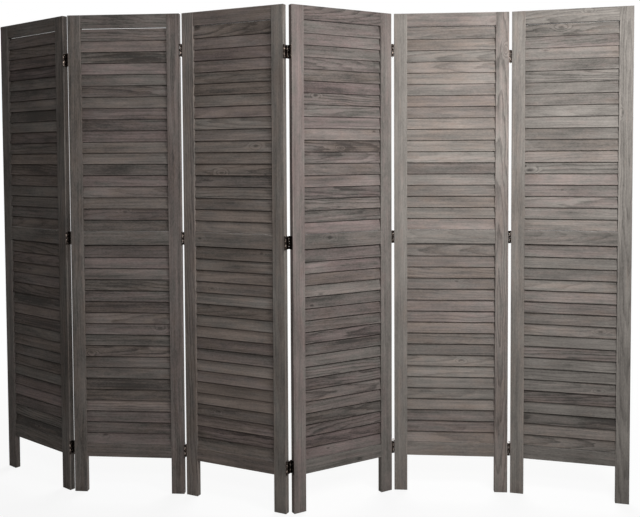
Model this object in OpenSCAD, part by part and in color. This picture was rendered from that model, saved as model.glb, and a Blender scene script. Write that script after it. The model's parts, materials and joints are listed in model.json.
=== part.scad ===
// Folding room divider: six louvred wooden panels joined by two-way hinges.
// Millimetres, +Z up. The screen stands part folded, with its front towards -Y.
// Origin: on the floor, in the middle of the box that holds the standing screen.
// X runs along the screen. Panels count from 1 at the left, seen from the front.

/* [Panel] */
// Width of one panel
panel_w = 400; // [360:5:440]
// Width of each stile
stile_w = 46; // [40:1:56]
// Thickness of the stiles
stile_t = 20; // [19:0.5:26]
// Thickness of the rails
rail_t = 18; // [17:0.5:19]
// Height of the top rail
top_rail_h = 46; // [38:1:60]
// Height of the middle rail
mid_rail_h = 48; // [38:1:60]
// Height of the bottom rail
low_rail_h = 46; // [38:1:60]
// Clear height of each bank of slats
bank_h = 716; // [700:2:750]
// Length of the legs below the bottom rail
leg_h = 128; // [90:1:180]

/* [Slats] */
// Width of one slat
slat_w = 44; // [42:0.5:45]
// Thickness of one slat
slat_t = 6; // [5:0.5:6.5]
// Chamfer along the slat's long edges
slat_chamfer = 1.5; // [0.5:0.1:2]
// Tilt of a closed slat from upright, bottom edge forward
slat_tilt = 12; // [11:0.5:14]
// How far single slats stray from that tilt
slat_stray = 0.8; // [0:0.1:0.9]
// Gap between a slat's end and the stile
slat_end_gap = 0.7; // [0.5:0.1:3]
// Gap between the outer slats of a bank and the rails
slat_rail_gap = 1; // [1:0.1:3]
// How much lower the top slats of panels 1 and 2 sit
slat_settle = 0.7; // [0:0.1:0.8]
// Diameter of a slat's round tenon
tenon_d = 5; // [4:0.5:5.5]
// Length of a slat's round tenon
tenon_l = 12; // [8:1:15]

/* [Rail joints] */
// Thickness of a rail's stub tenon
stub_t = 8; // [6:1:10]
// Length of a rail's stub tenon
stub_l = 18; // [12:1:22]
// Shoulder above and below a stub tenon
stub_shoulder = 7; // [5:1:10]

/* [Hinges] */
// Gap between neighbouring panels when flat
panel_gap = 9; // [9:0.5:12]
// Height of a hinge
hinge_h = 45; // [42:1:50]
// Thickness of a hinge leaf
leaf_t = 1.5; // [1.2:0.1:1.6]
// Thickness of the link's plate
link_t = 2; // [1.5:0.1:2.2]
// Outer diameter of the knuckles
knuckle_d = 5.5; // [5:0.1:5.6]
// Diameter of the hinge pins
pin_d = 2.5; // [2:0.1:3]
// How far the pins stand in front of and behind the panel faces
pin_proud = 1; // [0.8:0.1:2]
// Height of the middle hinges above the floor
hinge_mid_z = 914; // [900:1:928]
// Height of the bottom hinges above the floor
hinge_low_z = 157; // [155:1:200]
// Height of the top hinges that fold to the back
hinge_top_back_z = 1545; // [1500:1:1600]
// Height of the top hinges that fold to the front
hinge_top_front_z = 1572; // [1500:1:1600]
// Gap between neighbouring knuckles
knuckle_gap = 0.5; // [0.3:0.1:0.8]
// Diameter of the screw shanks
screw_d = 3; // [2.5:0.1:3.2]
// Length of the screws
screw_l = 16; // [12:1:18]
// Diameter of the screw heads
screw_head_d = 5.4; // [5:0.1:6]

/* [Pose] */
// Fold between panels 1 and 2, to the back
fold_12 = 34; // [0:1:90]
// Fold between panels 2 and 3, to the front
fold_23 = 21; // [0:1:90]
// Fold between panels 3 and 4, to the back
fold_34 = 56; // [0:1:90]
// Fold between panels 4 and 5, to the front
fold_45 = 35; // [0:1:90]
// Fold between panels 5 and 6, to the front
fold_56 = 11; // [0:1:60]
// Direction of panel 1 from the X axis
heading_1 = -29; // [-45:1:0]

/* [Hidden] */
$fn = 48;
PANELS = 6;
per_bank = 18;         // slats in each bank of a panel
TURNING = 4;           // the panel whose upper bank turns slat by slat
SETTLED = 2;           // panels 1 to this one have a top slat that sits lower

// Clearances: radial ones round pins, tenons and screws, and what is left free behind a tip
fit = 0.05;            // a hinge pin in its leaf and a slat's tenon in its stile
link_fit = 0.02;       // a hinge pin in its link
pilot_fit = 0.05;      // a screw's shank in its stile
leaf_hole_fit = 0.1;   // a screw in its leaf
seat = 0.1;            // round a rail's stub tenon
tip_room = 0.5;        // behind the tip of a slat's tenon or a screw

// How far solids that are joined or cut reach past each other
past = 1;              // a cutter past the face it opens, and an arm into its plate
lap = 0.02;            // a screw's head over its shank

WOOD_LIGHT = [0.62, 0.60, 0.58];
WOOD_MID = [0.52, 0.50, 0.48];
BRONZE = [0.20, 0.17, 0.15];

// Heights
low_rail_z = leg_h;
low_bank_z = low_rail_z + low_rail_h;
mid_rail_z = low_bank_z + bank_h;
top_bank_z = mid_rail_z + mid_rail_h;
top_rail_z = top_bank_z + bank_h;
panel_h = top_rail_z + top_rail_h;
open_w = panel_w - 2 * stile_w;
RAIL_SPANS = [[low_rail_z, low_rail_h], [mid_rail_z, mid_rail_h], [top_rail_z, top_rail_h]];

// Slats
slat_end = slat_w / 2 * cos(slat_tilt - slat_stray)
    + (slat_t / 2 - slat_chamfer) * sin(slat_tilt + slat_stray) + slat_rail_gap;
slat_pitch = (bank_h - 2 * slat_end) / (per_bank - 1);
LOWER = 0;             // the two banks of a panel; slats count from the top of their bank
UPPER = 1;
function slat_z(k, bank, i) = (bank == UPPER ? top_bank_z : low_bank_z)
    + bank_h - slat_end - (i - 1) * slat_pitch
    - (bank == UPPER && i == 1 && k <= SETTLED ? slat_settle : 0);
// Any uneven steps do here: they only keep neighbouring slats from straying alike.
stray_steps = [71, 211, 137.5];   // from panel to panel, bank to bank and slat to slat
function slat_angle(k, bank, i) = slat_tilt + slat_stray * sin(stray_steps * [k, bank, i]);

// Hinges
knuckle_r = knuckle_d / 2;
knuckle_n = 5;
knuckle_pitch = hinge_h / knuckle_n;
pin_x = panel_gap / 2;
pin_y = stile_t / 2 + pin_proud;
leaf_inset = 1;         // from a leaf's edge to the panel's far face
plate_gap = 0.75;       // between the link's plate and the leaf's knuckles
screw_y = 4.5;          // screws from the middle of a leaf, across it
screw_z = 13.5;         // and along it
screw_spots = [for (y = [-screw_y, screw_y], z = [-screw_z, screw_z]) [y, z]];
head_h = (screw_head_d - screw_d) / 2;
GAPS = [12, 23, 34, 45, 56];
FOLDS = [fold_12, -fold_23, fold_34, -fold_45, -fold_56];   // to the back is positive
function top_z(g) = g % 2 == 1 ? hinge_top_back_z : hinge_top_front_z;
function hinge_zs(g) = [hinge_low_z, hinge_mid_z, top_z(g)];

// The chain of panels in plan: a panel is [x, y, heading] of its left edge's middle.
function turned(p, a) = [p[0] * cos(a) - p[1] * sin(a), p[0] * sin(a) + p[1] * cos(a)];
function at(f, p) = [f[0], f[1]] + turned(p, f[2]);
function fold_pin(f, a) = at(f, [panel_w + pin_x, a < 0 ? -pin_y : pin_y]);
function next_panel(f, a) = let (
    p = fold_pin(f, a),
    flat = at(f, [panel_w + panel_gap, 0]),
    q = p + turned(flat - p, a)
) [q[0], q[1], f[2] + a];
function panel_frame(k) = k == 1 ? [0, 0, heading_1] : next_panel(panel_frame(k - 1), FOLDS[k - 2]);
// The link of gap g stays with the left panel on a fold to the back and turns with the right one on a fold
// to the front. Its frame has its origin in the middle of the gap.
function link_frame(g) = let (f = panel_frame(g), a = FOLDS[g - 1], m = at(f, [panel_w + pin_x, 0]))
    a >= 0 ? [m[0], m[1], f[2]]
    : let (p = fold_pin(f, a), q = p + turned(m - p, a)) [q[0], q[1], f[2] + a];

// The box round the standing screen, and the offset that centres it
FACES_Y = [-stile_t / 2, stile_t / 2];
CORNERS = [for (k = [1:PANELS], x = [0, panel_w], y = FACES_Y) at(panel_frame(k), [x, y])];
PINS = [for (g = [1:PANELS - 1], s = [-1, 1]) at(link_frame(g), [0, s * pin_y])];
x_lo = min(min([for (c = CORNERS) c[0]]), min([for (c = PINS) c[0] - knuckle_r]));
x_hi = max(max([for (c = CORNERS) c[0]]), max([for (c = PINS) c[0] + knuckle_r]));
y_lo = min(min([for (c = CORNERS) c[1]]), min([for (c = PINS) c[1] - knuckle_r]));
y_hi = max(max([for (c = CORNERS) c[1]]), max([for (c = PINS) c[1] + knuckle_r]));
CENTRE = [(x_lo + x_hi) / 2, (y_lo + y_hi) / 2];

STILES = [for (k = [1:PANELS]) str("panel_", k, "_stiles")];
RAILS = [for (k = [1:PANELS]) str("panel_", k, "_rails")];
SLATS = [for (k = [1:PANELS]) str("panel_", k, k == TURNING ? "_lower_slats" : "_slats")];
LEAVES = [for (k = [1:PANELS]) str("panel_", k, "_hinge_leaves")];
SCREWS = [for (k = [1:PANELS]) str("panel_", k, "_hinge_screws")];
LINKS = [for (g = GAPS) str("hinge_", g, "_links")];
PIN_SETS = [for (g = GAPS) str("hinge_", g, "_pins")];
TURNERS = [for (i = [1:per_bank]) str("turning_slat_", i < 10 ? "0" : "", i)];

// Places children that are drawn in a panel's or a link's own frame
module placed(f) {
    translate([f[0] - CENTRE[0], f[1] - CENTRE[1], 0]) rotate([0, 0, f[2]]) children();
}

// A stile with its left edge at x = 0: inner side at x = stile_w, holes for tenons and screws
module stile(left, k) {
    has_hinges = left ? k > 1 : k < PANELS;
    inner = left ? stile_w : 0;
    s = left ? -1 : 1;     // from the inner side into the wood
    difference() {
        translate([0, -stile_t / 2, 0]) cube([stile_w, stile_t, panel_h]);
        for (bank = [LOWER, UPPER], i = [1:per_bank])
            translate([inner, 0, slat_z(k, bank, i)]) rotate([0, 90 * s, 0]) translate([0, 0, -past])
                cylinder(d = tenon_d + 2 * fit, h = past + tenon_l + tip_room);
        for (r = RAIL_SPANS)
            translate([
                inner + (left ? -stub_l - seat : -past),
                -stub_t / 2 - seat,
                r[0] + stub_shoulder - seat
            ])
                cube([stub_l + seat + past, stub_t + 2 * seat, r[1] - 2 * stub_shoulder + 2 * seat]);
        if (has_hinges)
            for (z = hinge_zs(left ? k - 1 : k), p = screw_spots)
                translate([left ? 0 : stile_w, p[0], z + p[1]]) rotate([0, left ? 90 : -90, 0])
                    translate([0, 0, -past])
                        cylinder(d = screw_d + 2 * pilot_fit, h = past + screw_l - leaf_t + tip_room);
    }
}

module stiles(k) {
    color(WOOD_LIGHT) {
        stile(true, k);
        translate([panel_w - stile_w, 0, 0]) stile(false, k);
    }
}

// A rail with a stub tenon at each end
module rail(z, h) {
    translate([stile_w, -rail_t / 2, z]) cube([open_w, rail_t, h]);
    translate([stile_w - stub_l, -stub_t / 2, z + stub_shoulder])
        cube([open_w + 2 * stub_l, stub_t, h - 2 * stub_shoulder]);
}

module rails() {
    color(WOOD_MID) for (r = RAIL_SPANS) rail(r[0], r[1]);
}

// The section of a slat, upright
module slat_section() {
    a = slat_t / 2;
    b = slat_w / 2;
    c = slat_chamfer;
    polygon([
        [-a, -b + c], [-a + c, -b], [a - c, -b], [a, -b + c],
        [a, b - c], [a - c, b], [-a + c, b], [-a, b - c]
    ]);
}

// A slat lying along x on its round tenons, bottom edge forward
module slat(z, angle) {
    l = open_w - 2 * slat_end_gap;
    translate([panel_w / 2, 0, z]) {
        rotate([-angle, 0, 0]) rotate([90, 0, 90]) linear_extrude(height = l, center = true) slat_section();
        rotate([0, 90, 0]) cylinder(d = tenon_d, h = l + 2 * (tenon_l + slat_end_gap), center = true);
    }
}

module slat_bank(k, bank) {
    color(WOOD_MID) for (i = [1:per_bank]) slat(slat_z(k, bank, i), slat_angle(k, bank, i));
}

// A leaf on the side of a panel, knuckles at the front. The wood is at x < 0, the gap at x > 0.
module leaf() {
    difference() {
        union() {
            translate([0, -pin_y - leaf_t / 2, -hinge_h / 2])
                cube([leaf_t, pin_y + leaf_t / 2 + stile_t / 2 - leaf_inset, hinge_h]);
            for (i = [0:2:knuckle_n - 1]) knuckle(i) {
                translate([0, -leaf_t / 2, 0]) cube([pin_x, leaf_t, knuckle_pitch - knuckle_gap]);
                translate([pin_x, 0, 0]) cylinder(r = knuckle_r, h = knuckle_pitch - knuckle_gap);
            }
        }
        translate([pin_x, -pin_y, -hinge_h / 2 - past])
            cylinder(d = pin_d + 2 * fit, h = hinge_h + 2 * past);
        for (p = screw_spots) translate([0, p[0], p[1]]) rotate([0, 90, 0]) {
            translate([0, 0, -past]) cylinder(d = screw_d + 2 * leaf_hole_fit, h = leaf_t + 2 * past);
            translate([0, 0, leaf_t - head_h - lap]) head(leaf_hole_fit);
        }
    }
}

// Children at knuckle i of a hinge, 0 at the bottom
module knuckle(i) {
    translate([0, -pin_y, -hinge_h / 2 + i * knuckle_pitch + knuckle_gap / 2]) children();
}

// The cone of a countersunk head, tip down at z = 0, larger all round by the clearance that is asked for
module head(clearance) {
    cylinder(d1 = screw_d + 2 * clearance, d2 = screw_head_d + 2 * clearance, h = head_h + lap);
}

// A screw that points into the wood, with the top of its head flush with its leaf
module screw() {
    translate([0, 0, leaf_t - screw_l]) cylinder(d = screw_d, h = screw_l - head_h);
    translate([0, 0, leaf_t - head_h - lap]) head(0);
}

// Hinge leaves on both sides of panel k: the right side carries front knuckles, the left side back ones
module leaves(k) {
    color(BRONZE) {
        if (k < PANELS) for (z = hinge_zs(k)) translate([panel_w, 0, z]) leaf();
        if (k > 1) for (z = hinge_zs(k - 1)) translate([0, 0, z]) rotate([0, 0, 180]) leaf();
    }
}

module screws(k) {
    color(BRONZE) {
        if (k < PANELS) for (z = hinge_zs(k), p = screw_spots)
            translate([panel_w, p[0], z + p[1]]) rotate([0, 90, 0]) screw();
        if (k > 1) for (z = hinge_zs(k - 1), p = screw_spots)
            translate([0, p[0], z + p[1]]) rotate([0, -90, 0]) screw();
    }
}

// The link between the two pins of a hinge
module link() {
    clear = knuckle_r + plate_gap;
    difference() {
        union() {
            translate([-link_t / 2, -pin_y + clear, -hinge_h / 2 + knuckle_gap / 2])
                cube([link_t, 2 * (pin_y - clear), hinge_h - knuckle_gap]);
            for (side = [0, 180], i = [1:2:knuckle_n - 1]) rotate([0, 0, side]) knuckle(i) {
                cylinder(r = knuckle_r, h = knuckle_pitch - knuckle_gap);
                translate([-link_t / 2, 0, 0]) cube([link_t, clear + past, knuckle_pitch - knuckle_gap]);
            }
        }
        for (s = [-1, 1]) translate([0, s * pin_y, -hinge_h / 2 - past])
            cylinder(d = pin_d + 2 * link_fit, h = hinge_h + 2 * past);
    }
}

module links(g) {
    color(BRONZE) for (z = hinge_zs(g)) translate([0, 0, z]) link();
}

module pins(g) {
    color(BRONZE) for (z = hinge_zs(g), s = [-1, 1])
        translate([0, s * pin_y, z]) cylinder(d = pin_d, h = hinge_h, center = true);
}

for (k = [1:PANELS]) {
    placed(panel_frame(k)) stiles(k);
    placed(panel_frame(k)) rails();
    placed(panel_frame(k)) {
        if (k != TURNING) slat_bank(k, UPPER);
        slat_bank(k, LOWER);
    }
    placed(panel_frame(k)) leaves(k);
    placed(panel_frame(k)) screws(k);
}
for (g = [1:PANELS - 1]) {
    placed(link_frame(g)) links(g);
    placed(link_frame(g)) pins(g);
}
for (i = [1:per_bank]) {
    placed(panel_frame(TURNING)) color(WOOD_MID)
            slat(slat_z(TURNING, UPPER, i), slat_angle(TURNING, UPPER, i));
}
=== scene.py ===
"""Finishes a folding louvred room divider: stained boards, bronze hinges, a studio, a camera."""

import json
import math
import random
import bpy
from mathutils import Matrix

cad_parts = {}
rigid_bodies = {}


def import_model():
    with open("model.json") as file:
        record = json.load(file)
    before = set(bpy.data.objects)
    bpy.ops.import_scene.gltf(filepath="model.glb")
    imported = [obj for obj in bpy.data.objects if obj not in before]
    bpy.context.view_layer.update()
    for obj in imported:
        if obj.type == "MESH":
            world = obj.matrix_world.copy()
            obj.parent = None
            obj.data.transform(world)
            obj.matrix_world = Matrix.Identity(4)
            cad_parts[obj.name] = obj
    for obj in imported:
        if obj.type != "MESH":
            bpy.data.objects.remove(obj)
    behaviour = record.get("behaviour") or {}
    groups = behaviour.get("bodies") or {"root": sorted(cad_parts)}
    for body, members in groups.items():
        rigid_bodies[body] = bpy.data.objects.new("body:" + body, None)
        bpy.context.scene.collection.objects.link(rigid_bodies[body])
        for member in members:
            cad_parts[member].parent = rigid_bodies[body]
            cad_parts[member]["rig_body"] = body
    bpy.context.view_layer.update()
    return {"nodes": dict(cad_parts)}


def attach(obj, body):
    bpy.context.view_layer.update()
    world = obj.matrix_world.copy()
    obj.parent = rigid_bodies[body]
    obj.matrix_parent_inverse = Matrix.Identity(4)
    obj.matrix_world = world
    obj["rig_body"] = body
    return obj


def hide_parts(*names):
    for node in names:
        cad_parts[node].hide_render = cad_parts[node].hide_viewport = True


bl_info = {
    "name": "Louvred Room Divider",
    "version": (1, 0, 0),
    "blender": (4, 5, 0),
    "location": "3D View > Sidebar > Divider",
    "description": "Dresses a six-panel louvred divider with weathered boards and bronze hinges",
    "category": "Object",
}

from collections import namedtuple

import bmesh
import bpy
from bpy.props import (
    FloatProperty,
    FloatVectorProperty,
    IntProperty,
    PointerProperty,
)
from mathutils import Matrix, Vector, geometry

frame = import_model()

MM = 0.001
X_AXIS = Vector((1, 0, 0))
Z_AXIS = Vector((0, 0, 1))
QUARTER_TURN = math.pi / 2
PANELS = sorted(
    int(name.split("_")[1]) for name in frame["nodes"] if name.endswith("_stiles")
)
TURNING_SLATS = sorted(name for name in frame["nodes"] if name.startswith("turning_slat_"))

# The reference picture's width in pixels, and the width in mm of the sensor that stands for it.
PHOTO_WIDTH = 640
SENSOR_WIDTH = 36.0
CLIP_FROM_TO = (0.05, 200.0)
FLOOR_REACH = 40.0
LAMPS = ("key", "fill", "back_fill")

# What sets a kind of board apart: the number that its panels' seeds start from, the share of the
# board spread it takes, how much lighter and how much greyer it is, its share of boards with a
# knot, how strong its rings are, and how far they may slope along the board.
Kind = namedtuple("Kind", "seed spread lighter greyer knots figure slope")
STILE = Kind(seed=100, spread=0.4, lighter=0.09, greyer=0.22, knots=0.3, figure=0.45, slope=0.05)
RAIL = Kind(seed=200, spread=0.6, lighter=0.0, greyer=0.12, knots=0.3, figure=0.35, slope=0.12)
SLAT = Kind(seed=300, spread=1.0, lighter=-0.02, greyer=0.0, knots=0.14, figure=0.35, slope=0.07)
TURNING_SEED = 400

# How far one board may stray from its panel in warmth and in mauve.
WARMTH_STRAY, MAUVE_STRAY = 0.3, 0.5
# How deep behind a board's face its rings have their middle, and how far aside, in board widths.
HEART_DEPTH = (0.010, 0.05)
HEART_ASIDE = 0.8
# Where a knot may lie, in shares of a board's length and width, and how large it may be.
KNOT_ALONG, KNOT_ACROSS = 0.46, 0.35
KNOT_MM = (2.4, 5.2)
# A knot of no size, far off every board.
NO_KNOT = (9.0, 9.0, 0.0)
# Where along a slat its bow may be deepest, and how far it sways for each part that it lifts.
BOW_PEAK = (0.35, 0.65)
SWAY_PER_LIFT = 0.6

# A flat has a line of points this far from each rounded edge, if it is over this many times as wide.
EDGE_GUARD = 2.5 * MM
ROOM_FOR_GUARDS = 2.5
# The least share of its edges' rounding that a board keeps at its ends, and the steps to get there.
LEAST_ROUND = 0.2
END_STEPS = 3
SLAT_CUTS = 8
SLAT_END_ROUND = 0.5 * MM
TENON_RADIUS = 2.5 * MM
TENON_CHAMFER = 0.5 * MM
# A tenon starts this far inside its slat.
TENON_ROOT = 1 * MM
TENON_SIDES = 16
SHARP_BOARD_EDGE = math.radians(50)

# Noise spots in a metre of metal, and how many more light spots the links get, a painted highlight
# where their knuckles would catch the light.
LEAF_SPOTS, LINK_SPOTS, SCREW_SPOTS = 420, 260, 900
LINK_PAINTED_HIGHLIGHT = 0.35
HINGE_ROUND = 0.35 * MM
SCREW_ROUND = 0.15 * MM
SHARP_METAL_EDGE = math.radians(40)
WELD_GAP = 0.005 * MM
SAME_POINT = 0.001 * MM


# ---------------------------------------------------------------- sizes and colours


class DividerBoards(bpy.types.PropertyGroup):
    """How the boards are machined and how straight they stayed"""

    stile_round: FloatProperty(
        name="Stile rounding",
        description="Radius sanded on the long edges of the stiles",
        default=1.2 * MM,
        min=0.2 * MM,
        max=4 * MM,
        precision=4,
        unit="LENGTH",
    )
    rail_round: FloatProperty(
        name="Rail rounding",
        description="Radius sanded on the long edges of the rails",
        default=0.7 * MM,
        min=0.2 * MM,
        max=4 * MM,
        precision=4,
        unit="LENGTH",
    )
    slat_round: FloatProperty(
        name="Slat rounding",
        description="Radius on the long edges of the slats",
        default=1.7 * MM,
        min=0.2 * MM,
        max=2.8 * MM,
        precision=4,
        unit="LENGTH",
    )
    slat_bow: FloatProperty(
        name="Slat bow",
        description="How far the middle of a slat may bend out of line",
        default=0.3 * MM,
        min=0,
        max=0.6 * MM,
        precision=5,
        unit="LENGTH",
    )
    slat_fit: FloatProperty(
        name="Slat fit",
        description="How much nearer the stiles a slat's ends come than its solid's",
        default=0.5 * MM,
        min=0,
        max=0.6 * MM,
        precision=5,
        unit="LENGTH",
    )
    slat_twist: FloatProperty(
        name="Slat twist",
        description="How far each end of a slat may be twisted",
        default=math.radians(1.1),
        min=0,
        max=math.radians(1.5),
        subtype="ANGLE",
    )
    arc_steps: IntProperty(
        name="Rounding steps",
        description="Faces round a quarter of an edge",
        default=3,
        min=1,
        max=8,
    )


class DividerStain(bpy.types.PropertyGroup):
    """The grey stain and the wood under it"""

    cool: FloatVectorProperty(
        name="Grey stain",
        description="Colour where the stain took grey",
        default=(0.205, 0.188, 0.171),
        min=0,
        max=1,
        subtype="COLOR",
    )
    brown: FloatVectorProperty(
        name="Brown stain",
        description="Colour where the brown wood shows through",
        default=(0.223, 0.183, 0.159),
        min=0,
        max=1,
        subtype="COLOR",
    )
    mauve: FloatVectorProperty(
        name="Mauve stain",
        description="Colour where the stain turned mauve",
        default=(0.232, 0.179, 0.171),
        min=0,
        max=1,
        subtype="COLOR",
    )
    # Each panel's shade is partly its own tone and partly painted shade for how the light falls on
    # that panel.
    panel_tones_and_painted_shade: FloatVectorProperty(
        name="Panel shades",
        description="How much lighter than the mean each panel is, from the left",
        default=(-0.38, -0.24, -0.11, -0.20, 0.06, -0.09),
        size=6,
        min=-1,
        max=1,
    )
    panel_warmths: FloatVectorProperty(
        name="Panel warmths",
        description="How much of each panel isn't grey, from the left",
        default=(0.60, 0.50, 0.72, 0.50, 0.36, 0.12),
        size=6,
        min=0,
        max=1,
    )
    panel_mauves: FloatVectorProperty(
        name="Panel mauves",
        description="How much of what isn't grey is mauve on each panel, from the left",
        default=(0.40, 0.60, 0.10, 0.90, 0.15, 0.50),
        size=6,
        min=0,
        max=1,
    )
    board_spread: FloatProperty(
        name="Board spread",
        description="How much lighter or darker one board may be than the next",
        default=0.26,
        min=0,
        max=1,
        subtype="FACTOR",
    )
    ring_gap: FloatProperty(
        name="Ring spacing",
        description="Distance between growth rings",
        default=7.5 * MM,
        min=1 * MM,
        max=20 * MM,
        precision=4,
        unit="LENGTH",
    )
    roughness: FloatProperty(
        name="Roughness",
        description="Roughness of the dry stain",
        default=0.80,
        min=0,
        max=1,
        subtype="FACTOR",
    )
    relief: FloatProperty(
        name="Grain relief",
        description="Height of the raised grain",
        default=0.25 * MM,
        min=0,
        max=1 * MM,
        precision=5,
        unit="LENGTH",
    )


class DividerBronze(bpy.types.PropertyGroup):
    """The dark finish of the hinges and screws"""

    dark: FloatVectorProperty(
        name="Finish",
        description="Colour of the sound finish",
        default=(0.026, 0.020, 0.017),
        min=0,
        max=1,
        subtype="COLOR",
    )
    # The lighter spots' colour: partly worn finish, partly painted highlight for light caught by the
    # knuckles.
    rubbed_and_highlight: FloatVectorProperty(
        name="Rubbed",
        description="Colour where the finish is rubbed",
        default=(0.240, 0.190, 0.160),
        min=0,
        max=1,
        subtype="COLOR",
    )
    roughness: FloatProperty(
        name="Roughness",
        description="Roughness of the sound finish",
        default=0.22,
        min=0,
        max=1,
        subtype="FACTOR",
    )


class DividerStage(bpy.types.PropertyGroup):
    """The floor, the lamps and the camera"""

    eye: FloatVectorProperty(
        name="Eye",
        description="Where the camera stands",
        default=(0.5838, -2.8754, 1.1993),
        subtype="TRANSLATION",
        unit="LENGTH",
    )
    turn: FloatProperty(
        name="Turn",
        description="How far the camera is turned to the left",
        default=math.radians(9.56),
        subtype="ANGLE",
    )
    tip: FloatProperty(
        name="Tip",
        description="How far the camera looks down",
        default=math.radians(2.39),
        subtype="ANGLE",
    )
    roll: FloatProperty(
        name="Roll",
        description="How far the camera is rolled to the right",
        default=math.radians(0.28),
        subtype="ANGLE",
    )
    focal_pixels: FloatProperty(
        name="Focal length",
        description="Focal length in pixels of the reference picture",
        default=840.6,
        min=100,
    )
    drop_pixels: FloatProperty(
        name="Drop",
        description="How far the view is shifted down, in pixels of the reference picture",
        default=66.8,
    )
    floor_colour: FloatVectorProperty(
        name="Floor",
        description="Colour of the floor, by which it lights the divider",
        default=(0.36, 0.355, 0.35),
        min=0,
        max=1,
        subtype="COLOR",
    )
    floor_seen: FloatVectorProperty(
        name="Floor as seen",
        description="Colour of the floor and its shadows to the camera and in reflections",
        default=(0.95, 0.95, 0.95),
        min=0,
        max=1,
        subtype="COLOR",
    )
    white_share: FloatProperty(
        name="White share",
        description="How much of the floor near the divider the camera sees as plain white",
        default=0.88,
        min=0,
        max=1,
        subtype="FACTOR",
    )
    white_from_to: FloatVectorProperty(
        name="White from and to",
        description="Distances from the middle between which the floor turns to plain white",
        default=(0.9, 3.2),
        size=2,
        min=0,
        unit="LENGTH",
    )
    ambient: FloatProperty(
        name="Ambient",
        description="Strength of the light from all round",
        default=0.08,
        min=0,
    )
    key_place: FloatVectorProperty(
        name="Key place",
        description="Where the soft box near the right end hangs",
        default=(1.25, -0.95, 1.65),
        subtype="TRANSLATION",
        unit="LENGTH",
    )
    key_aim: FloatVectorProperty(
        name="Key aim",
        description="The point that the soft box near the right end faces",
        default=(0.5, 0.1, 1.2),
        subtype="TRANSLATION",
        unit="LENGTH",
    )
    key_size: FloatProperty(
        name="Key size",
        description="Side of the soft box near the right end",
        default=0.5,
        min=0.01,
        unit="LENGTH",
    )
    key_power: FloatProperty(
        name="Key",
        description="Power of the soft box near the right end",
        default=17.6,
        min=0,
        unit="POWER",
    )
    fill_place: FloatVectorProperty(
        name="Fill place",
        description="Where the soft box far in front hangs",
        default=(1.10, -3.20, 2.45),
        subtype="TRANSLATION",
        unit="LENGTH",
    )
    fill_aim: FloatVectorProperty(
        name="Fill aim",
        description="The high point that the soft box far in front faces",
        default=(-0.4, 0.1, 2.9),
        subtype="TRANSLATION",
        unit="LENGTH",
    )
    fill_size: FloatProperty(
        name="Fill size",
        description="Side of the soft box far in front",
        default=0.7,
        min=0.01,
        unit="LENGTH",
    )
    fill_power: FloatProperty(
        name="Fill",
        description="Power of the soft box far in front",
        default=53.0,
        min=0,
        unit="POWER",
    )
    back_fill_place: FloatVectorProperty(
        name="Back fill place",
        description="Where the large soft box behind the divider hangs",
        default=(0.4, 3.4, 2.2),
        subtype="TRANSLATION",
        unit="LENGTH",
    )
    back_fill_aim: FloatVectorProperty(
        name="Back fill aim",
        description="The point that the large soft box behind the divider faces",
        default=(0, 0, 0.85),
        subtype="TRANSLATION",
        unit="LENGTH",
    )
    back_fill_size: FloatProperty(
        name="Back fill size",
        description="Side of the large soft box behind the divider",
        default=3.0,
        min=0.01,
        unit="LENGTH",
    )
    back_fill_power: FloatProperty(
        name="Back fill",
        description="Power of the large soft box behind the divider",
        default=150.0,
        min=0,
        unit="POWER",
    )


# ---------------------------------------------------------------- shader sums


def operator_pair(operation):
    """A Wire's method for an operation, and its reflected form for a number on the left."""

    def plain(self, other):
        return self.graph.maths(operation, self, other)

    def reflected(self, other):
        return self.graph.maths(operation, other, self)

    return plain, reflected


class Wire:
    """A shader socket that can stand in a Python expression."""

    def __init__(self, graph, socket):
        self.graph = graph
        self.socket = socket

    __add__, __radd__ = operator_pair("ADD")
    __sub__, __rsub__ = operator_pair("SUBTRACT")
    __mul__, __rmul__ = operator_pair("MULTIPLY")
    __truediv__, __rtruediv__ = operator_pair("DIVIDE")
    __pow__, __rpow__ = operator_pair("POWER")

    def fraction(self):
        """What is left of the value over its whole number."""
        return self.graph.maths("FRACT", self)

    def at_least(self, low):
        return self.graph.maths("MAXIMUM", self, low)

    def clamped(self):
        """The value, held between 0 and 1."""
        return self.graph.maths("ADD", self, 0.0, clamp=True)

    def between(self, low, high):
        """0 below low, 1 above high, and smooth in between."""
        settings = {"interpolation_type": "SMOOTHSTEP"}
        sockets = {"Value": self, "From Min": low, "From Max": high}
        return self.graph.add("ShaderNodeMapRange", settings, sockets)


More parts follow.
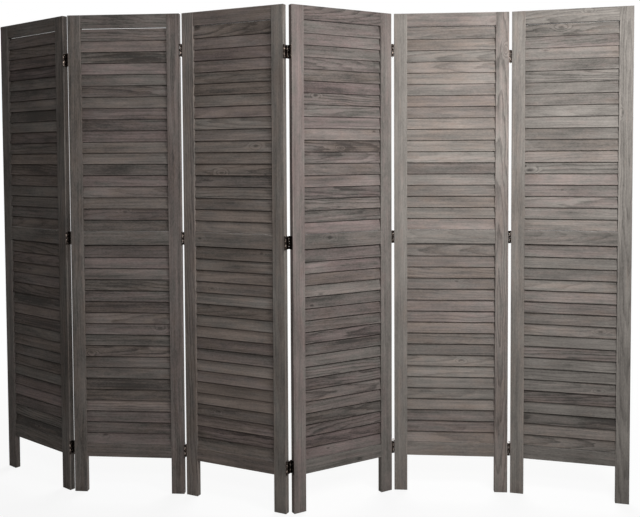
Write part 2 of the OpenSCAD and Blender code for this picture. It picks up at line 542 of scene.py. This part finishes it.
class Graph:
    """The node tree of one material or world."""

    def __init__(self, owner):
        owner.use_nodes = True
        self.tree = owner.node_tree
        self.tree.nodes.clear()

    def add(self, kind, settings=None, sockets=None, output=0):
        """Adds a node, makes its settings, fills its sockets, and returns one of its outputs.

        Sockets are named, or numbered where a node has two of one name.
        """
        node = self.tree.nodes.new(kind)
        for name, value in (settings or {}).items():
            setattr(node, name, value)
        for key, value in (sockets or {}).items():
            if isinstance(value, Wire):
                self.tree.links.new(value.socket, node.inputs[key])
            else:
                node.inputs[key].default_value = value
        return Wire(self, node.outputs[output]) if node.outputs else None

    def maths(self, operation, *values, clamp=False):
        settings = {"operation": operation, "use_clamp": clamp}
        return self.add("ShaderNodeMath", settings, dict(enumerate(values)))

    def vector(self, operation, *values):
        settings = {"operation": operation}
        return self.add("ShaderNodeVectorMath", settings, dict(enumerate(values)))

    def scaled(self, vector, scale):
        sockets = {"Vector": vector, "Scale": scale}
        return self.add("ShaderNodeVectorMath", {"operation": "SCALE"}, sockets)

    def length(self, vector):
        settings = {"operation": "LENGTH"}
        return self.add("ShaderNodeVectorMath", settings, {"Vector": vector}, "Value")

    def parts(self, vector):
        """The three numbers of a vector."""
        first = self.add("ShaderNodeSeparateXYZ", None, {"Vector": vector})
        return [Wire(self, socket) for socket in first.socket.node.outputs]

    def attribute(self, name):
        return self.add("ShaderNodeAttribute", {"attribute_name": name}, None, "Vector")

    def object_place(self):
        return self.add("ShaderNodeTexCoord", None, None, "Object")

    def noise(self, where, detail=2.0, roughness=0.5):
        """Cloudy noise round 0, from about -1 to 1."""
        sockets = {"Vector": where, "Scale": 1.0, "Detail": detail, "Roughness": roughness}
        return self.add("ShaderNodeTexNoise", {"noise_dimensions": "3D"}, sockets, "Fac") * 2 - 1

    def mix(self, factor, first, second):
        """A colour between two colours."""
        sockets = {0: factor, 6: first, 7: second}
        return self.add("ShaderNodeMix", {"data_type": "RGBA"}, sockets, 2)

    def bump(self, height, distance, strength):
        sockets = {"Strength": strength, "Distance": distance, "Height": height}
        return self.add("ShaderNodeBump", None, sockets)

    def seen(self):
        """1 for what the camera sees, also in a reflection or through glass, and 0 otherwise."""
        path = self.add("ShaderNodeLightPath").socket.node.outputs
        rays = ("Is Camera Ray", "Is Glossy Ray", "Is Transmission Ray")
        return sum(Wire(self, path[name]) for name in rays).clamped()

    def surface(self, shader):
        self.add("ShaderNodeOutputMaterial", None, {"Surface": shader})


def opaque(colour):
    return (*colour, 1.0)


# ---------------------------------------------------------------- finishes


def finish_once(name, make, *values):
    """The named material, made the first time that it is asked for."""
    return bpy.data.materials.get(name) or make(name, *values)


def stained_wood(name, stain):
    """Grey stain on open-grained boards. Each point knows its place in its own board."""
    material = bpy.data.materials.new(name)
    g = Graph(material)
    place = g.attribute("grain")
    board = g.attribute("board")
    along, across, through = g.parts(place)
    shade, warm_share, mauve_share = g.parts(board)
    depth, slope, aside = g.parts(g.attribute("heart"))
    knot_along, knot_across, knot_size = g.parts(g.attribute("knot"))
    wear, end, figure = g.parts(g.attribute("wear"))
    # Boards differ in these three numbers, so this gives each its own part of the noise.
    own_part = g.scaled(board, 40.0)

    def grained(waves_along, waves_across, detail, roughness=0.5):
        """Noise drawn out along the board, by its waves per metre along and across."""
        stretched = g.vector("MULTIPLY", place, (waves_along, waves_across, waves_across))
        return g.noise(g.vector("ADD", stretched, own_part), detail, roughness)

    # A knot is longer along the board. How far away it is counts in knot sizes.
    knot_squeeze, least_size = 0.45, 1e-5
    away_along = (along - knot_along) * knot_squeeze
    away_across = across - knot_across
    away = (away_along * away_along + away_across * away_across) ** 0.5 / (knot_size + least_size)
    near_knot = 1 - away.between(0.7, 4.2)
    in_knot = 1 - away.between(0.5, 1.3)
    knot_rim = near_knot - near_knot * near_knot

    # Rings round a heart behind the face, which wander, and bulge round the knot.
    wander = grained(5.0, 8.0, 2.0) * 0.012
    height = through + depth + along * slope
    side = across + aside + wander
    radius = (side * side + height * height) ** 0.5
    rings = radius / stain.ring_gap + grained(14.0, 90.0, 2.0) * 0.45 + near_knot * 1.8
    phase = rings.fraction()
    late = (phase * 0.35 + phase.between(0.45, 0.85) * 0.65) * (1 - phase.between(0.88, 1.0))

    # Uneven stain, from broad clouds down to single fibres.
    clouds = grained(4.0, 12.0, 2.0)
    patches = grained(11.0, 40.0, 4.0, 0.62)
    dapple = grained(60.0, 160.0, 3.0, 0.7)
    bands = grained(2.0, 90.0, 2.0)
    streaks = grained(5.0, 340.0, 3.0, 0.7)
    flecks = grained(130.0, 420.0, 2.0, 0.7)
    fibres = grained(40.0, 1500.0, 2.0, 0.6)
    cracks = grained(9.0, 260.0, 2.0).between(0.22, 0.42)
    stains = patches.between(0.10, 0.45) * dapple.between(-0.5, 0.3)
    pores = fibres.between(0.1, 0.5) * streaks.between(-0.35, 0.4)
    # Darker within 40 mm of each board's ends, more where the patches and clouds are.
    darker_near_ends = (1 - end.between(0.0, 0.040)) * (patches * 2.0 + clouds + 0.25).clamped()
    figured = figure + clouds * 0.2 + near_knot * 0.12 + 0.10

    mauve = (mauve_share + clouds * 0.6 - patches * 1.5 + dapple * 0.5).clamped()
    warmth = (warm_share + patches * 1.2 - clouds * 0.5 + bands * 0.4 + dapple * 0.4).clamped()
    warm = g.mix(mauve, opaque(stain.brown), opaque(stain.mauve))
    stained = g.mix(warmth, opaque(stain.cool), warm)
    level = (
        1.08
        # The board's shade holds its panel's painted shade as well as its own tone.
        + shade
        + clouds * 0.50
        + patches * 0.28
        + dapple * 0.20
        + flecks * 0.36
        + bands * 0.30
        + streaks * 0.44
        + fibres * 0.14
        - stains * 0.16
        - darker_near_ends * 0.26
        - late * figured
        - pores * 0.14
        - cracks * 0.13
        - in_knot * 0.28
        + knot_rim * 0.30
        # Rounded edges are lighter: partly worn stain, partly painted highlight along the arrises.
        + wear * (streaks * 0.5 + 0.08)
    )
    darkest = 0.3
    colour = g.scaled(stained, level.at_least(darkest))
    relief = late * 0.5 - pores * 0.8 + streaks * 0.5 - in_knot * 0.5
    sockets = {
        "Base Color": colour,
        "Roughness": streaks * 0.06 + pores * 0.10 - wear * 0.06 + stain.roughness,
        "Specular IOR Level": 0.1,
        "Normal": g.bump(relief, stain.relief, strength=0.6),
    }
    g.surface(g.add("ShaderNodeBsdfPrincipled", None, sockets))
    return material


def dark_bronze(name, bronze, spots_per_metre, painted_highlight=0.0):
    """Dark plated metal with lighter spots, partly worn finish and partly painted highlight, which
    grow with the extra share given, and finer pits.
    """
    material = bpy.data.materials.new(name)
    g = Graph(material)
    place = g.object_place()
    pits_per_metre = spots_per_metre * 5
    spots = g.noise(g.scaled(place, spots_per_metre), detail=3.0, roughness=0.6)
    pits = g.noise(g.scaled(place, pits_per_metre))
    # Lighter spots, partly worn finish and partly painted highlight; the links are given more of
    # them.
    rubbed_and_highlight = (spots + painted_highlight).between(0.15, 0.6)
    sockets = {
        "Base Color": g.mix(rubbed_and_highlight, opaque(bronze.dark), opaque(bronze.rubbed_and_highlight)),
        "Metallic": 1.0,
        "Roughness": bronze.roughness + rubbed_and_highlight * 0.10 + pits * 0.05,
        "Normal": g.bump(pits, 0.1 * MM, strength=0.4),
    }
    g.surface(g.add("ShaderNodeBsdfPrincipled", None, sockets))
    return material


def pale_floor(name, stage):
    """A pale floor that keeps shadows, and looks nearly white to the camera and in reflections."""
    material = bpy.data.materials.new(name)
    g = Graph(material)
    seen = g.seen()
    colour = g.mix(seen, opaque(stage.floor_colour), opaque(stage.floor_seen))
    lit = g.add("ShaderNodeBsdfDiffuse", None, {"Color": colour})
    white = g.add("ShaderNodeEmission", None, {"Strength": 1.0})
    away = g.length(g.object_place())
    share = away.between(*stage.white_from_to) * (1 - stage.white_share) + stage.white_share
    g.surface(g.add("ShaderNodeMixShader", None, {0: seen * share, 1: lit, 2: white}))
    return material


# ---------------------------------------------------------------- reading the frame


def solids(node):
    """The separate solids of a CAD node, each as a list of its corner points."""
    mesh = bmesh.new()
    mesh.from_mesh(frame["nodes"][node].data)
    bmesh.ops.remove_doubles(mesh, verts=mesh.verts, dist=SAME_POINT)
    seen = set()
    found = []
    for start in mesh.verts:
        if start in seen:
            continue
        seen.add(start)
        reached = [start]
        for vert in reached:
            for edge in vert.link_edges:
                other = edge.other_vert(vert)
                if other not in seen:
                    seen.add(other)
                    reached.append(other)
        found.append([vert.co.copy() for vert in reached])
    mesh.free()
    return found


def top(points):
    """How high a solid reaches."""
    return max(point.z for point in points)


def turn_to_square(points):
    """The least turn that sets the tightest rectangle round flat points square to the axes."""
    turn = geometry.box_fit_2d(points)
    return turn - QUARTER_TURN * round(turn / QUARTER_TURN)


def panel_place(panel):
    """A panel's own axes as a matrix: x along it, y to its back, z up, from its low left corner."""
    points = [point for solid in solids(f"panel_{panel}_stiles") for point in solid]
    turn = -turn_to_square([point.to_2d() for point in points])
    to_part = Matrix.Rotation(turn, 4, "Z")
    own = [to_part.inverted() @ point for point in points]
    corner = Vector([min(point[i] for point in own) for i in range(3)])
    return to_part @ Matrix.Translation(corner)


class Blank:
    """A board's straight outline, read from its solid: its middle, its axes and its three sizes."""

    def __init__(self, points, place, along, across):
        own = place.inverted()
        self.place = place
        self.axes = [along, across, along.cross(across)]
        reach = [
            [axis.dot(own @ point) for point in points] for axis in self.axes
        ]
        self.size = [max(values) - min(values) for values in reach]
        self.middle = sum(
            (
                axis * (max(values) + min(values)) / 2
                for axis, values in zip(self.axes, reach)
            ),
            Vector(),
        )

    def at(self, along, across, through):
        """A point of the board, in the part's axes."""
        offset = zip(self.axes, (along, across, through))
        return self.place @ sum((axis * value for axis, value in offset), self.middle.copy())


# ---------------------------------------------------------------- boards


def rounded_section(width, depth, radius, steps):
    """Points round a board's section, each with its edge mark, for wear and painted highlight: 1 on
    a rounded edge and 0 on a flat.
    """
    points = []
    half = (width / 2 - radius, depth / 2 - radius)
    corners = ((1, 1), (-1, 1), (-1, -1), (1, -1))
    for turn, (sx, sy) in enumerate(corners):
        runs_across = turn % 2 == 0
        run = (half[0] if runs_across else half[1]) * 2
        for step in range(steps + 1):
            angle = QUARTER_TURN * (turn + step / steps)
            x = sx * half[0] + radius * math.cos(angle)
            y = sy * half[1] + radius * math.sin(angle)
            points.append((x, y, 1.0))
        if run > EDGE_GUARD * ROOM_FOR_GUARDS:
            nx, ny = corners[(turn + 1) % 4]
            leave = Vector(points[-1][:2])
            arrive = leave + Vector((nx - sx, ny - sy)) * run / 2
            step = (arrive - leave).normalized() * EDGE_GUARD
            points.append((*(leave + step), 0.0))
            points.append((*(arrive - step), 0.0))
    return points


class Timber:
    """Boards that are gathered into one mesh, with what the stain needs to know of each point."""

    def __init__(self, seed):
        self.random = random.Random(seed)
        self.points = []
        self.faces = []
        self.marks = {name: [] for name in ("grain", "board", "heart", "knot", "wear")}

    def stray(self, reach):
        """An even draw of up to reach either way."""
        return self.random.uniform(-reach, reach)

    def add_point(self, place, **marks):
        """Adds one point with its marks, and returns its number."""
        self.points.append(place)
        for name, value in marks.items():
            self.marks[name].append(value)
        return len(self.points) - 1

    def add_board(
        self, blank, kind, stain, radius, steps, end_round=0.0, bow=0.0, twist=0.0, cuts=2
    ):
        """Adds one rounded board. Its stain is its shade, which holds its panel's painted shade too,
        its warmth and its share of mauve.
        """
        length, width, depth = blank.size
        shade, warmth, mauve = stain
        own = {
            "board": (shade, warmth + self.stray(WARMTH_STRAY), mauve + self.stray(MAUVE_STRAY)),
            "heart": self.draw_heart(width, kind.slope),
            "knot": self.draw_knot(length, width, kind.knots),
        }
        figure = kind.figure * max(0.0, self.stray(1.0))
        lift = self.stray(bow)
        sway = self.stray(bow) * SWAY_PER_LIFT
        # The power of the share along the board that puts the bow's peak where it is drawn.
        peak = math.log(0.5) / math.log(self.random.uniform(*BOW_PEAK))
        first_twist, last_twist = self.stray(twist), self.stray(twist)
        rings = []
        for at, inset in self.stations(length, end_round, cuts):
            share = at / length + 0.5
            bend = math.sin(math.pi * share ** peak)
            turn = first_twist + (last_twist - first_twist) * share
            rounding = max(radius - inset, radius * LEAST_ROUND)
            ring = []
            for across, through, wear in rounded_section(
                width - 2 * inset, depth - 2 * inset, rounding, steps
            ):
                turned = (
                    across - through * turn + sway * bend,
                    through + across * turn + lift * bend,
                )
                ring.append(
                    self.add_point(
                        blank.at(at, *turned),
                        grain=(at, across, through),
                        wear=(wear if inset == 0 else 1.0, length / 2 - abs(at), figure),
                        **own,
                    )
                )
            rings.append(ring)
        self.skin(rings)

    def draw_heart(self, width, slope):
        """How deep the middle of a board's rings lies, how it slopes, and how far aside it is."""
        depth = self.random.uniform(*HEART_DEPTH)
        return depth, self.stray(slope), self.stray(HEART_ASIDE) * width

    def draw_knot(self, length, width, share):
        """Where a board's knot is and how large, or a knot of no size far away."""
        place = (self.stray(KNOT_ALONG) * length, self.stray(KNOT_ACROSS) * width)
        size = self.random.uniform(*KNOT_MM) * MM
        return (*place, size) if self.random.uniform(0, 1) < share else NO_KNOT

    def stations(self, length, end_round, cuts):
        """Where along a board its section is drawn, and how far it is drawn in there."""
        half = length / 2
        inner = [
            (-half + end_round + (length - 2 * end_round) * i / cuts, 0.0)
            for i in range(cuts + 1)
        ]
        if not end_round:
            return inner
        far = []
        for step in range(END_STEPS):
            angle = QUARTER_TURN / END_STEPS * step
            at = half - end_round * (1 - math.cos(angle))
            far.append((at, end_round * (1 - math.sin(angle))))
        near = [(-at, inset) for at, inset in far]
        return near + inner + far[::-1]

    def skin(self, rings):
        """Faces between neighbouring rings, and a cap on each end."""
        for first, second in zip(rings, rings[1:]):
            count = len(first)
            for i in range(count):
                j = (i + 1) % count
                self.faces.append((first[i], first[j], second[j], second[i]))
        self.faces.append(tuple(reversed(rings[0])))
        self.faces.append(tuple(rings[-1]))

    def add_tenons(self, blank, reach):
        """The round tenons on the two ends of the last board."""
        half = blank.size[0] / 2
        own = {name: self.marks[name][-1] for name in ("board", "heart", "knot")}
        stations = ((-TENON_ROOT, 0), (reach - TENON_CHAMFER, 0), (reach, TENON_CHAMFER))
        for way in (-1, 1):
            rings = []
            for at, narrower in stations:
                radius = TENON_RADIUS - narrower
                ring = []
                for i in range(TENON_SIDES):
                    angle = 2 * math.pi * i / TENON_SIDES * way
                    place = ((half + at) * way, radius * math.cos(angle), radius * math.sin(angle))
                    ring.append(
                        self.add_point(blank.at(*place), grain=place, wear=(0, 0, 0), **own)
                    )
                rings.append(ring)
            self.skin(rings)

    def build(self, name, material):
        """Makes the object."""
        mesh = bpy.data.meshes.new(name)
        mesh.from_pydata(self.points, [], self.faces)
        for label, values in self.marks.items():
            layer = mesh.attributes.new(label, "FLOAT_VECTOR", "POINT")
            layer.data.foreach_set("vector", [x for value in values for x in value])
        mesh.shade_smooth()
        mesh.set_sharp_from_angle(angle=SHARP_BOARD_EDGE)
        mesh.materials.append(material)
        piece = bpy.data.objects.new(name, mesh)
        bpy.context.scene.collection.objects.link(piece)
        flats = piece.modifiers.new("flat_faces", "WEIGHTED_NORMAL")
        flats.keep_sharp = True
        return piece


def stand_for(piece, node):
    """Puts a piece in its node's place: on the node's body, and hides the node."""
    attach(piece, frame["nodes"][node]["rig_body"])
    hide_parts(node)


def dress(node, material, rounding):
    """Gives a CAD node one material and softly rounded edges."""
    node.data.materials.clear()
    node.data.materials.append(material)
    weld = node.modifiers.new("weld", "WELD")
    weld.merge_threshold = WELD_GAP
    bevel = node.modifiers.new("rounded_edges", "BEVEL")
    bevel.width = rounding
    bevel.segments = 2
    bevel.limit_method = "ANGLE"
    bevel.angle_limit = SHARP_METAL_EDGE
    bevel.harden_normals = True


# ---------------------------------------------------------------- operators


class DividerStep(bpy.types.Operator):
    """One step in dressing the divider"""

    bl_options = {"REGISTER", "UNDO"}


class BoardStep(DividerStep):
    """Work that all boards share"""

    def wood(self, context):
        return finish_once("stained_wood", stained_wood, context.scene.divider_stain)

    def board_tone_and_painted_shade(self, context, timber, panel, kind):
        """A board's shade, warmth and share of mauve, from its panel's, its kind's and a draw. The
        panel's shade is partly painted shade for how the light falls on that panel.
        """
        stain = context.scene.divider_stain
        index = PANELS.index(panel)
        spread = stain.board_spread * kind.spread
        # The panel's share of the shade is partly painted shade.
        shade = stain.panel_tones_and_painted_shade[index] + timber.random.triangular(-spread, spread)
        warmth = stain.panel_warmths[index] - kind.greyer
        return shade + kind.lighter, warmth, stain.panel_mauves[index]


class DIVIDER_OT_stiles(BoardStep):
    """Build the two stiles of every panel"""

    bl_idname = "divider.stiles"
    bl_label = "Stiles"

    def execute(self, context):
        boards = context.scene.divider_boards
        for panel in PANELS:
            node = f"panel_{panel}_stiles"
            place = panel_place(panel)
            timber = Timber(STILE.seed + panel)
            for solid in sorted(solids(node), key=lambda points: (place.inverted() @ points[0]).x):
                timber.add_board(
                    Blank(solid, place, Z_AXIS, X_AXIS),
                    STILE,
                    self.board_tone_and_painted_shade(context, timber, panel, STILE),
                    boards.stile_round,
                    boards.arc_steps,
                    end_round=boards.stile_round,
                )
            stand_for(timber.build(f"wood_stiles_{panel}", self.wood(context)), node)
        return {"FINISHED"}


class DIVIDER_OT_rails(BoardStep):
    """Build the three rails of every panel"""

    bl_idname = "divider.rails"
    bl_label = "Rails"

    def execute(self, context):
        boards = context.scene.divider_boards
        for panel in PANELS:
            node = f"panel_{panel}_rails"
            place = panel_place(panel)
            timber = Timber(RAIL.seed + panel)
            for solid in sorted(solids(node), key=top):
                timber.add_board(
                    Blank(solid, place, X_AXIS, Z_AXIS),
                    RAIL,
                    self.board_tone_and_painted_shade(context, timber, panel, RAIL),
                    boards.rail_round,
                    boards.arc_steps,
                )
            stand_for(timber.build(f"wood_rails_{panel}", self.wood(context)), node)
        return {"FINISHED"}


class SlatStep(BoardStep):
    """Work that fixed and turning slats share"""

    def slat_blank(self, solid, place):
        """A slat's outline without its tenons, and how far those reach out of it."""
        own = [place.inverted() @ point for point in solid]
        length = max(point.x for point in own) - min(point.x for point in own)
        middle = (max(point.z for point in own) + min(point.z for point in own)) / 2
        wide = [point for point in own if abs(point.z - middle) > 2 * TENON_RADIUS]
        lean = turn_to_square([(point.y, point.z) for point in wide])
        up = Vector((0, math.sin(lean), math.cos(lean)))
        blank = Blank([place @ point for point in wide], place, X_AXIS, up)
        return blank, (length - blank.size[0]) / 2

    def add_slat(self, context, timber, solid, place, panel):
        boards = context.scene.divider_boards
        blank, reach = self.slat_blank(solid, place)
        blank.size[0] += 2 * boards.slat_fit
        timber.add_board(
            blank,
            SLAT,
            self.board_tone_and_painted_shade(context, timber, panel, SLAT),
            boards.slat_round,
            boards.arc_steps,
            end_round=SLAT_END_ROUND,
            bow=boards.slat_bow,
            twist=boards.slat_twist,
            cuts=SLAT_CUTS,
        )
        timber.add_tenons(blank, reach - boards.slat_fit)


class DIVIDER_OT_fixed_slats(SlatStep):
    """Build the slats that their panel's body holds"""

    bl_idname = "divider.fixed_slats"
    bl_label = "Fixed slats"

    def execute(self, context):
        for panel in PANELS:
            node = next(
                name
                for name in frame["nodes"]
                if name.startswith(f"panel_{panel}_") and name.endswith("slats")
            )
            place = panel_place(panel)
            timber = Timber(SLAT.seed + panel)
            for solid in sorted(solids(node), key=top, reverse=True):
                self.add_slat(context, timber, solid, place, panel)
            stand_for(timber.build(f"wood_slats_{panel}", self.wood(context)), node)
        return {"FINISHED"}


class DIVIDER_OT_turning_slats(SlatStep):
    """Build the slats that turn one by one"""

    bl_idname = "divider.turning_slats"
    bl_label = "Turning slats"

    def execute(self, context):
        lower = next(name for name in frame["nodes"] if name.endswith("_lower_slats"))
        panel = int(lower.split("_")[1])
        place = panel_place(panel)
        for index, node in enumerate(TURNING_SLATS):
            timber = Timber(TURNING_SEED + index)
            self.add_slat(context, timber, solids(node)[0], place, panel)
            name = node.replace("turning_slat", "wood_turning_slat")
            stand_for(timber.build(name, self.wood(context)), node)
        return {"FINISHED"}


class DIVIDER_OT_hinges(DividerStep):
    """Finish the hinge leaves, links and pins"""

    bl_idname = "divider.hinges"
    bl_label = "Hinges"

    def execute(self, context):
        bronze = context.scene.divider_bronze
        plated = finish_once("hinge_bronze", dark_bronze, bronze, LEAF_SPOTS)
        # The links get more lighter spots, a painted highlight that stands in for light caught by
        # their knuckles.
        rubbed_and_highlight = finish_once("link_bronze", dark_bronze, bronze, LINK_SPOTS, LINK_PAINTED_HIGHLIGHT)
        for name, node in frame["nodes"].items():
            if name.endswith("_links"):
                dress(node, rubbed_and_highlight, HINGE_ROUND)
            elif "hinge" in name and "screws" not in name:
                dress(node, plated, HINGE_ROUND)
        return {"FINISHED"}


class DIVIDER_OT_screws(DividerStep):
    """Finish the hinge screws"""

    bl_idname = "divider.screws"
    bl_label = "Screws"

    def execute(self, context):
        bronze = context.scene.divider_bronze
        plated = finish_once("screw_bronze", dark_bronze, bronze, SCREW_SPOTS)
        for name, node in frame["nodes"].items():
            if name.endswith("screws"):
                dress(node, plated, SCREW_ROUND)
        return {"FINISHED"}


class DIVIDER_OT_stage(DividerStep):
    """Lay the floor, hang the lamps and place the camera"""

    bl_idname = "divider.stage"
    bl_label = "Stage"

    def execute(self, context):
        stage = context.scene.divider_stage
        self.lay_floor(context, stage)
        self.light_world(context, stage)
        for name in LAMPS:
            self.hang_lamp(context, stage, name)
        self.place_camera(context, stage)
        context.scene.view_settings.view_transform = "Standard"
        return {"FINISHED"}

    def lay_floor(self, context, stage):
        mesh = bpy.data.meshes.new("floor")
        ways = ((-1, -1), (1, -1), (1, 1), (-1, 1))
        corners = [(x * FLOOR_REACH, y * FLOOR_REACH, 0) for x, y in ways]
        mesh.from_pydata(corners, [], [(0, 1, 2, 3)])
        mesh.materials.append(finish_once("pale_floor", pale_floor, stage))
        floor = bpy.data.objects.new("floor", mesh)
        context.scene.collection.objects.link(floor)

    def light_world(self, context, stage):
        """Weak light from all round, which the camera and reflections see as white."""
        world = bpy.data.worlds.new("studio")
        context.scene.world = world
        g = Graph(world)
        strength = g.seen() * (1 - stage.ambient) + stage.ambient
        sockets = {"Color": opaque((1, 1, 1)), "Strength": strength}
        light = g.add("ShaderNodeBackground", None, sockets)
        g.add("ShaderNodeOutputWorld", None, {"Surface": light})

    def hang_lamp(self, context, stage, name):
        """Hangs the soft box of that name as the stage's settings say."""
        place = getattr(stage, f"{name}_place")
        aim = getattr(stage, f"{name}_aim")
        lamp = bpy.data.lights.new(name, "AREA")
        lamp.shape = "SQUARE"
        lamp.size = getattr(stage, f"{name}_size")
        lamp.energy = getattr(stage, f"{name}_power")
        holder = bpy.data.objects.new(name, lamp)
        holder.location = place
        holder.rotation_euler = (Vector(aim) - Vector(place)).to_track_quat("-Z", "Y").to_euler()
        holder.visible_camera = False
        context.scene.collection.objects.link(holder)

    def place_camera(self, context, stage):
        camera = bpy.data.cameras.new("camera")
        camera.sensor_fit = "HORIZONTAL"
        camera.sensor_width = SENSOR_WIDTH
        camera.lens = stage.focal_pixels * SENSOR_WIDTH / PHOTO_WIDTH
        camera.shift_y = -stage.drop_pixels / PHOTO_WIDTH
        camera.clip_start, camera.clip_end = CLIP_FROM_TO
        holder = bpy.data.objects.new("camera", camera)
        holder.location = stage.eye
        facing = Matrix.Rotation(stage.turn, 4, "Z")
        tipped = facing @ Matrix.Rotation(QUARTER_TURN - stage.tip, 4, "X")
        holder.rotation_euler = (tipped @ Matrix.Rotation(-stage.roll, 4, "Z")).to_euler()
        context.scene.collection.objects.link(holder)
        context.scene.camera = holder


# ---------------------------------------------------------------- panel and registration


class DIVIDER_PT_dressing(bpy.types.Panel):
    """Lists the steps and the values they use"""

    bl_idname = "DIVIDER_PT_dressing"
    bl_label = "Louvred Divider"
    bl_space_type = "VIEW_3D"
    bl_region_type = "UI"
    bl_category = "Divider"

    def draw(self, context):
        for step in STEPS:
            self.layout.operator(step.bl_idname)
        for name in SETTINGS:
            group = getattr(context.scene, name)
            box = self.layout.box()
            for key in group.__annotations__:
                box.prop(group, key)


SETTINGS = {
    "divider_boards": DividerBoards,
    "divider_stain": DividerStain,
    "divider_bronze": DividerBronze,
    "divider_stage": DividerStage,
}
STEPS = (
    DIVIDER_OT_stage,
    DIVIDER_OT_stiles,
    DIVIDER_OT_rails,
    DIVIDER_OT_fixed_slats,
    DIVIDER_OT_turning_slats,
    DIVIDER_OT_hinges,
    DIVIDER_OT_screws,
)


def register():
    for name, group in SETTINGS.items():
        bpy.utils.register_class(group)
        setattr(bpy.types.Scene, name, PointerProperty(type=group))
    for step in STEPS:
        bpy.utils.register_class(step)
    bpy.utils.register_class(DIVIDER_PT_dressing)


def unregister():
    bpy.utils.unregister_class(DIVIDER_PT_dressing)
    for step in reversed(STEPS):
        bpy.utils.unregister_class(step)
    for name, group in reversed(SETTINGS.items()):
        delattr(bpy.types.Scene, name)
        bpy.utils.unregister_class(group)


def main():
    register()
    bpy.ops.divider.stage()
    bpy.ops.divider.stiles()
    bpy.ops.divider.rails()
    bpy.ops.divider.fixed_slats()
    bpy.ops.divider.turning_slats()
    bpy.ops.divider.hinges()
    bpy.ops.divider.screws()


if __name__ == "__main__":
    main()
